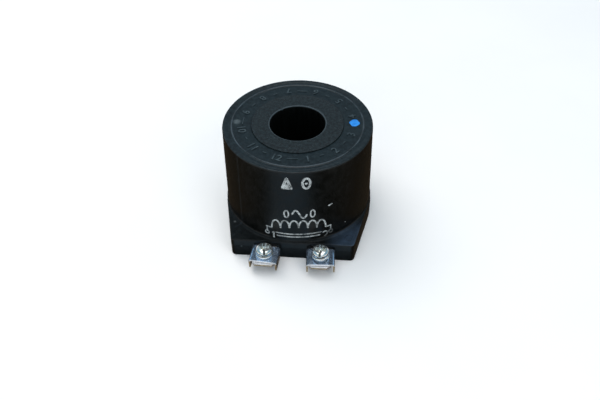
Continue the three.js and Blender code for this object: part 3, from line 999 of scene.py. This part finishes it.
def end_numbers():
    """The winding's ends, numbered 1 and 2 as on the terminals."""
    one = [(-6.9, 10.3), (-6.3, 11.1), (-6.3, 7.6)]
    two = [*arc_path(11.2, 9.9, 0.85, 0.95, 160, -40, 12), (10.3, 7.7), (12.2, 7.7)]
    return [stroke(one, 0.5), stroke(two, 0.5)]


def ink_marks(ink):
    solids = stamp_marks() + supply_mark() + coil_diagram() + end_numbers()
    return mark("ink_marks", joined(solids), ink)


def handling_marks(ink):
    """A small pale scratch on the barrel and a rub mark low on its right."""
    solids = [
        stroke([(12.2, 22.2), (13.0, 22.5), (13.9, 22.55)], 0.42),
        stroke([(12.5, 21.95), (13.2, 22.2)], 0.3),
        stroke([(18.9, 11.4), (19.3, 11.1)], 0.3),
    ]
    return mark("handling_marks", joined(solids), ink)


# ---- Bobbin ------------------------------------------------------------------------------

def bobbin_former(nylon, bore):
    (low_bottom, low_top), (high_bottom, high_top) = FLANGES
    profile = fillet([
        (BORE_RADIUS, 0.0, BORE_ROUND),
        (COLLAR_RADIUS, 0.0, 0.12),
        (COLLAR_RADIUS, low_bottom, 0.0),
        (FLANGE_RADIUS, low_bottom, 0.2),
        (FLANGE_RADIUS, low_top, 0.2),
        (TUBE_RADIUS, low_top, 0.2),
        (TUBE_RADIUS, high_bottom, 0.2),
        (FLANGE_RADIUS, high_bottom, 0.2),
        (FLANGE_RADIUS, high_top, 0.2),
        (COLLAR_RADIUS, high_top, 0.0),
        (COLLAR_RADIUS, HEIGHT, 0.12),
        (BORE_RADIUS + 1.2, HEIGHT, 0.0),
        (BORE_RADIUS, HEIGHT, BORE_ROUND),
        (BORE_RADIUS, HEIGHT - NOTCH_LENGTH, 0.0),
    ])
    segments = 360
    verts, faces = lathe(profile, segments)
    notched = []
    for x, y, z in verts:
        angle = math.atan2(y, x)
        radius = math.hypot(x, y)
        inside = abs(angle - NOTCH_ANGLE) < NOTCH_HALF_ANGLE and radius < BORE_RADIUS + BORE_ROUND
        if inside and z > HEIGHT - NOTCH_LENGTH:
            z -= NOTCH_DROP * (BORE_RADIUS + BORE_ROUND - radius) / BORE_ROUND
        notched.append(polar(radius, angle, z))
    former = build("bobbin_former", notched, faces, "coil_body", [nylon, bore])
    cut(former, [lead_slot(side) for side in SIDES.values()] + [lead_groove()])
    for polygon in former.data.polygons:
        x, y, z = polygon.center / MM
        # Faces in the bore take the darker bore material, painted shade.
        in_bore = math.hypot(x, y - BORE_AXIS_Y) < BORE_RADIUS + 0.02
        polygon.material_index = 1 if in_bore else 0
    smooth(former.data, 35)
    return stands_for(former, "bobbin_nylon", "bobbin")


def lead_slot(side):
    """The slot through the lower flange where a lead passes down."""
    verts, faces = prism(rectangle(2.0, 22.5, 18.9), 6.3, 8.8)
    return turned_about_z(verts, side * LEAD_ANGLE), faces


def lead_groove():
    """The groove in the lower flange that brings the start lead out from the tube."""
    verts, faces = prism(rectangle(1.6, 19.4, 10.5), 7.2, 9.3)
    return turned_about_z(verts, -LEAD_ANGLE), faces


# ---- Winding and tape --------------------------------------------------------------------

def wound_wire(copper):
    """The winding, with its outer layer of round wire showing as ridges that climb."""
    inner, outer = WINDING_RADII
    bottom, top = WINDING_ENDS
    segments, rows_per_turn = 120, 6
    rows = int((top - bottom) / WIRE_PITCH * rows_per_turn) + 1
    profile = [(inner, bottom)]
    profile += [(outer, bottom + (top - bottom) * i / (rows - 1)) for i in range(rows)]
    profile += [(inner, top)]
    verts, faces = lathe(profile, segments)
    shaped = []
    for index, (x, y, z) in enumerate(verts):
        ring, j = divmod(index, segments)
        radius = math.hypot(x, y)
        if 0 < ring <= rows:
            phase = (z - bottom) / WIRE_PITCH - j / segments
            radius -= 0.2 * (1 - abs(math.sin(math.pi * phase)))
        angle = 2 * math.pi * j / segments
        shaped.append(polar(radius, angle, z))
    coil = build("wound_wire", shaped, faces, "coil_body", [copper])
    return stands_for(coil, "copper_wire", "winding")


def tape_wrap(tape):
    """The tape over the winding, with the step where its end laps over itself."""
    inner, outer = TAPE_RADII
    bottom, top = WINDING_ENDS
    rows = [bottom + (top - bottom) * k / 8 for k in range(9)]
    profile = [(inner, bottom), *[(outer, z) for z in rows], (inner, top)]
    segments = 180
    verts, faces = lathe(profile, segments)
    shaped = []
    for index, (x, y, z) in enumerate(verts):
        ring, j = divmod(index, segments)
        radius = math.hypot(x, y)
        angle = 2 * math.pi * j / segments
        if 0 < ring <= len(rows):
            lapped = 0.0 if j < 24 else 0.06
            radius -= lapped + 0.02 * (1 + math.sin(9 * angle + z))
        shaped.append(polar(radius, angle, z))
    wrap = build("tape_wrap", shaped, faces, "coil_body", [tape])
    return stands_for(wrap, "insulation_tape", "winding_tape")


# ---- Terminals ---------------------------------------------------------------------------

def at_terminal(solid, which, turn=0.0):
    verts, faces = solid
    return moved(turned_about_z(verts, turn), TERMINAL_X[which], -SCREW_FROM_BORE), faces


def strip_plate(which, plate, edge):
    """The strip that carries the tapped hole, with its corners cut off."""
    half = STRIP_WIDTH / 2
    front = SCREW_FROM_BORE - STRIP_FRONT
    back = SCREW_FROM_BORE - STRIP_BACK
    wide = STRIP_CORNER + (0.5 if which == "right" else 0.0)
    outline = [
        (-half, back),
        (-half, front + STRIP_CORNER),
        (-half + STRIP_CORNER, front),
        (half - wide, front),
        (half, front + wide),
        (half, back),
    ]
    verts, faces = at_terminal(prism(outline, *STRIP_Z), which)
    piece = build("strip_plate_" + which, verts, faces, "coil_body", [plate, edge])
    burr = fillet([
        (0.4, STRIP_Z[1] - 0.2, 0),
        (BURR_RADIUS, STRIP_Z[1] - 0.2, 0),
        (BURR_RADIUS, STRIP_Z[0] - BURR_DEPTH, 0.25),
        (0.4, STRIP_Z[0] - BURR_DEPTH, 0),
    ])
    cut(piece, [at_terminal(lathe(burr, 48, True), which)], "UNION")
    hole = prism(circle(TAPPED_RADIUS), STRIP_Z[0] - 2, STRIP_Z[1] + 1)
    cut(piece, [at_terminal(hole, which)])
    paint_sides(piece, 1)
    smooth(piece.data, 35)
    stands_for(piece, "terminal_strip", "terminal_strip_" + which)
    return soften(piece, 0.07)


def paint_sides(piece, index):
    """Gives the upright flat faces of a sheet-metal piece another material."""
    for polygon in piece.data.polygons:
        n = polygon.normal
        flat_front = abs(n.y) > 0.9 or (abs(n.z) < 0.2 and polygon.area > 1.5 * MM * MM)
        polygon.material_index = index if flat_front and abs(n.z) < 0.2 else 0


def saddle_section():
    """The saddle seen from the front: a flat top and a leg bent down at each side."""
    half = SADDLE_WIDTH / 2
    thick = SADDLE_THICKNESS
    foot = -SADDLE_HEIGHT
    inner = half - thick
    corners = [
        (-half + 0.12, foot, 0.12),
        (-inner - 0.12, foot + 0.1, 0.12),
        (-inner, -thick, SADDLE_BEND - thick),
        (inner, -thick, SADDLE_BEND - thick),
        (inner + 0.12, foot + 0.1, 0.12),
        (half - 0.12, foot, 0.12),
        (half, 0.0, SADDLE_BEND),
        (-half, 0.0, SADDLE_BEND),
    ]
    return fillet(corners, steps=8)


def saddle_plate(which, plate, edge):
    section = saddle_section()
    count = len(section)
    half = SADDLE_DEPTH / 2
    verts = []
    for y in (-half, half):
        for x, z in section:
            taper = 0.1 * max(0.0, -z / SADDLE_HEIGHT)
            verts.append((x, y * (1 - taper), SADDLE_TOP + z))
    faces = tube_faces(2, count)
    turn = LOOSE[which]["saddle"]
    verts, faces = at_terminal((verts, faces), which, turn)
    body = "clamp_" + which
    piece = build("saddle_plate_" + which, verts, faces, body, [plate, edge])
    hole = prism(circle(SADDLE_HOLE_RADIUS), SADDLE_TOP - 2, SADDLE_TOP + 1)
    cut(piece, [at_terminal(hole, which)])
    for polygon in piece.data.polygons:
        polygon.material_index = 1 if abs(polygon.normal.y) > 0.9 else 0
    smooth(piece.data, 35)
    stands_for(piece, "clamp_steel", "saddle_clamp_" + which)
    return soften(piece, 0.09)


def split_washer(which, steel):
    """A spring washer: a square section carried once round with a gap and a slight rise."""
    inner, outer = WASHER_RADII
    bottom, top = WASHER_Z
    section = fillet([
        (inner, bottom, 0.06),
        (outer, bottom, 0.14),
        (outer, top, 0.2),
        (inner, top, 0.06),
    ], steps=4)
    split = LOOSE[which]["split"]
    half_gap = math.radians(5.5)
    steps = 72
    verts = []
    for i in range(steps + 1):
        share = i / steps
        angle = split + half_gap + (2 * math.pi - 2 * half_gap) * share
        for radius, z in section:
            climb = LOOSE[which]["rise"] * (angle - split) / (2 * math.pi)
            verts.append(polar(radius, angle, z + climb))
    count = len(section)
    faces = tube_faces(steps + 1, count)
    verts, faces = at_terminal((verts, faces), which)
    piece = build("split_washer_" + which, verts, faces, "clamp_" + which, [steel])
    return stands_for(piece, "clamp_steel", "spring_washer_" + which)


def screw_blank(head_bottom):
    """The screw's head and threaded shank before the driver recess is cut."""
    segments, rows_per_pitch = 48, 8
    top = head_bottom + HEAD_HEIGHT
    tip = head_bottom - SHANK_LENGTH
    rows = int(SHANK_LENGTH / THREAD_PITCH * rows_per_pitch)
    verts = []
    for i in range(rows + 1):
        z = tip + (SHANK_LENGTH - 0.02) * i / rows
        lead_in = min(1.0, (z - tip) / 0.5)
        for j in range(segments):
            phase = ((z - tip) / THREAD_PITCH - j / segments) % 1.0
            crest = min(1.0, max(0.0, 2.6 * (1 - abs(2 * phase - 1)) - 0.5))
            radius = SHANK_RADIUS - THREAD_DEPTH * (1 - crest * lead_in) - 0.12 * (1 - lead_in)
            verts.append(polar(radius, 2 * math.pi * j / segments, z))
    head = fillet([
        (SHANK_RADIUS - 0.1, head_bottom, 0),
        (HEAD_RADIUS, head_bottom, 0.12),
        (HEAD_RADIUS, top - 0.72, 0.6),
        (2.0, top - 0.24, 0.8),
        (1.1, top - 0.05, 0.9),
        (0.15, top, 0),
    ], closed=False, steps=8)
    head_verts, _ = lathe(head, segments)
    verts += head_verts
    return verts, tube_faces(rows + 1 + len(head), segments)


def wedge(head_top, length_top, length_bottom, width_top, width_bottom, depth):
    """A driver tip: an upright block that narrows downward from just above the head."""
    top = head_top + 0.3
    bottom = head_top - depth
    verts = []
    for length, width, z in (
        (length_bottom, width_bottom, bottom),
        (length_top, width_top, top),
    ):
        for sx, sy in ((-1, -1), (1, -1), (1, 1), (-1, 1)):
            verts.append((sx * length / 2, sy * width / 2, z))
    faces = [(0, 1, 2, 3), (4, 5, 6, 7)]
    faces += [(i, (i + 1) % 4, 4 + (i + 1) % 4, 4 + i) for i in range(4)]
    return verts, faces


def pan_screw(which, steel):
    turn = LOOSE[which]["slot"]
    head_top = HEAD_BOTTOM[which] + HEAD_HEIGHT
    verts, faces = at_terminal(screw_blank(HEAD_BOTTOM[which]), which)
    body = "screw_" + which
    piece = build("pan_screw_" + which, verts, faces, body, [steel])
    slot = wedge(head_top, 7.0, 7.0, 0.9, 0.75, 0.95)
    cross = wedge(head_top, 4.1, 1.5, 1.3, 0.6, 1.6)
    cutters = [
        at_terminal(slot, which, turn + math.pi / 2),
        at_terminal(cross, which, turn),
        at_terminal(cross, which, turn + math.pi / 2),
    ]
    cut(piece, cutters)
    smooth(piece.data, 32)
    stands_for(piece, "screw_steel", "terminal_screw_" + which)
    return soften(piece, 0.06, 45)


# ---- Carried-over nodes ------------------------------------------------------------------

def finish_node(name, material):
    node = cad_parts[name]
    if not node.data.materials:
        node.data.materials.append(material)
    for index in range(len(node.material_slots)):
        node.material_slots[index].material = material


# ---- Stage -------------------------------------------------------------------------------

def floor(material):
    half = 9000.0
    outline = [(-half, -half), (half, -half), (half, half), (-half, half)]
    piece = build("studio_floor", *prism(outline, -20.0, -0.02), None, [material])
    piece.visible_glossy = False


def softbox(name, place, target, size, power, colour):
    """A rectangular lamp at a place in millimetres, aimed at a target."""
    data = bpy.data.lights.new(name, "AREA")
    data.shape = "RECTANGLE"
    data.size, data.size_y = size[0] * MM, size[1] * MM
    data.energy = power
    data.color = colour
    lamp = bpy.data.objects.new(name, data)
    lamp.location = Vector(place) * MM
    aim = Vector(target) * MM - lamp.location
    lamp.rotation_mode = "QUATERNION"
    lamp.rotation_quaternion = aim.to_track_quat("-Z", "Y")
    lamp.visible_glossy = False
    bpy.context.scene.collection.objects.link(lamp)


class Sky(Nodes):
    """The world's colour, graded by the direction it is seen in."""

    def __init__(self):
        world = bpy.data.worlds.new("studio")
        bpy.context.scene.world = world
        world.use_nodes = True
        super().__init__(world.node_tree)
        self.split = self.add("SeparateXYZ")
        self.join(self.add("TexCoord").outputs["Generated"], self.split, "Vector")

    def share(self, axis, low, high):
        """0 to 1 as the direction's x, y or z goes from low to high."""
        return self.spread(self.split.outputs[axis], low, high)

    def graded(self, axis, stops):
        """A colour for each (x, y or z, colour) stop, blended between them."""
        low, high = stops[0][0], stops[-1][0]
        node = self.add("ValToRGB")
        self.join(self.spread(self.split.outputs[axis], low, high, shape="LINEAR"), node, "Fac")
        elements = node.color_ramp.elements
        elements[0].color = (*stops[0][1], 1)
        elements[1].color = (*stops[-1][1], 1)
        for at, colour in stops[1:-1]:
            elements.new((at - low) / (high - low)).color = (*colour, 1)
        return node.outputs["Color"]


def surroundings():
    """A bright ceiling, blue-grey walls, and a dim room low down with one cool window ahead.

    Only reflections see the lower half, because the floor covers it from everything else.
    """
    sky = Sky()
    above = sky.graded("Z", [
        (0.0, (0.9, 0.9, 0.9)),
        (0.15, (0.6, 0.64, 0.68)),
        (0.4, (0.26, 0.41, 0.52)),
        (0.72, (0.15, 0.3, 0.41)),
        (0.84, (0.35, 0.5, 0.6)),
        (0.91, (1.9, 1.98, 2.05)),
        (1.0, (2.3, 2.38, 2.45)),
    ])
    leftward = sky.graded("X", [(-0.4, (1.0, 1.0, 1.0)), (0.2, (0.78, 0.79, 0.8))])
    above = sky.mix(1.0, above, leftward, "MULTIPLY")
    window = sky.graded("X", [
        (-1.0, (0.03, 0.022, 0.008)),
        (-0.58, (0.03, 0.026, 0.014)),
        (-0.34, (0.26, 0.36, 0.44)),
        (0.0, (0.25, 0.38, 0.5)),
        (0.18, (0.22, 0.34, 0.44)),
        (0.34, (0.006, 0.007, 0.004)),
        (1.0, (0.03, 0.026, 0.018)),
    ])
    fade = sky.graded("Z", [
        (-0.8, (0.0, 0.0, 0.0)),
        (-0.75, (0.2, 0.2, 0.2)),
        (-0.7, (1.0, 1.0, 1.0)),
        (-0.6, (1.7, 1.75, 1.8)),
    ])
    window = sky.mix(1.0, window, fade, "MULTIPLY")
    front = sky.mix(sky.share("Z", -0.5, -0.35), window, (0.9, 0.9, 0.9))
    below = sky.mix(sky.share("Y", -0.35, 0.1), front, (0.06, 0.045, 0.028))
    both = sky.mix(sky.share("Z", -0.12, -0.02), below, above)
    background = sky.tree.nodes["Background"]
    sky.join(both, background, "Color")
    background.inputs["Strength"].default_value = 1.0


def lights():
    softbox("key", (-260, 240, 520), (0, 0, 20), (420, 320), 1.35, (1.0, 0.95, 0.9))
    softbox("fill", (320, -320, 420), (0, 0, 10), (300, 300), 0.6, (1.0, 0.95, 0.9))
    softbox("front", (-60, -480, 300), (0, 0, 20), (420, 160), 0.55, (1.0, 0.98, 0.96))


def camera():
    """The photograph's view: about 44 degrees down, and a little to the right of the front."""
    azimuth, elevation, roll = (math.radians(a) for a in (5.532, 43.949, -0.994))
    back = Vector((
        math.sin(azimuth) * math.cos(elevation),
        -math.cos(azimuth) * math.cos(elevation),
        math.sin(elevation),
    ))
    level = (-back).cross(Vector((0, 0, 1))).normalized()
    upward = level.cross(-back)
    right = level * math.cos(roll) + upward * math.sin(roll)
    up = upward * math.cos(roll) - level * math.sin(roll)
    data = bpy.data.cameras.new("camera")
    data.sensor_width = 36
    data.lens = 42
    data.clip_start, data.clip_end = 0.01, 20
    eye = Vector((0, BORE_AXIS_Y, 2.325)) + level * 0.375 + back * 257.3
    holder = bpy.data.objects.new("camera", data)
    holder.matrix_world = Matrix.Translation(eye * MM) @ Matrix((right, up, back)).transposed().to_4x4()
    bpy.context.scene.collection.objects.link(holder)
    bpy.context.scene.camera = holder


# ---- Making it all -----------------------------------------------------------------------

camera()
surroundings()
lights()
floor(studio_floor())

face_look = moulding_face()
wall_look = moulding_wall()
relief_look = relief_tops()
nylon_look = bobbin_nylon()
strip_look = nickel("nickel_strip", (0.98, 0.92, 0.9), (0.86, 0.76, 0.68), 0.34, 0.03, (1, 0.3, 1))
clamp_look = nickel("nickel_clamp", (0.66, 0.78, 0.98), (0.5, 0.58, 0.66), 0.2, 0.09, (0.3, 1, 1))
screw_look = nickel("nickel_screw", (0.98, 0.97, 0.94), (0.72, 0.7, 0.5), 0.13, 0.04)
edge_look = cut_edge()
copper_look = copper_enamel()
ink_look = white_ink()

moulded_shell(face_look, wall_look, ledge_surface())
gate_nub(relief_look)
relief_numerals(relief_look)
paint_dot(blue_paint())
ink_marks(ink_look)
handling_marks(ink_look)
bobbin_former(nylon_look, bore_wall())
wound_wire(copper_look)
tape_wrap(polyester_tape())
for which in SIDES:
    strip_plate(which, strip_look, edge_look)
    saddle_plate(which, clamp_look, edge_look)
    split_washer(which, screw_look)
    pan_screw(which, screw_look)
    finish_node("solder_joint_" + which, tin_solder())
for lead in ("start_lead", "finish_lead"):
    finish_node(lead, copper_look)
    finish_node(lead + "_sleeve", glass_sleeving())

bpy.context.scene.view_settings.view_transform = "Standard"
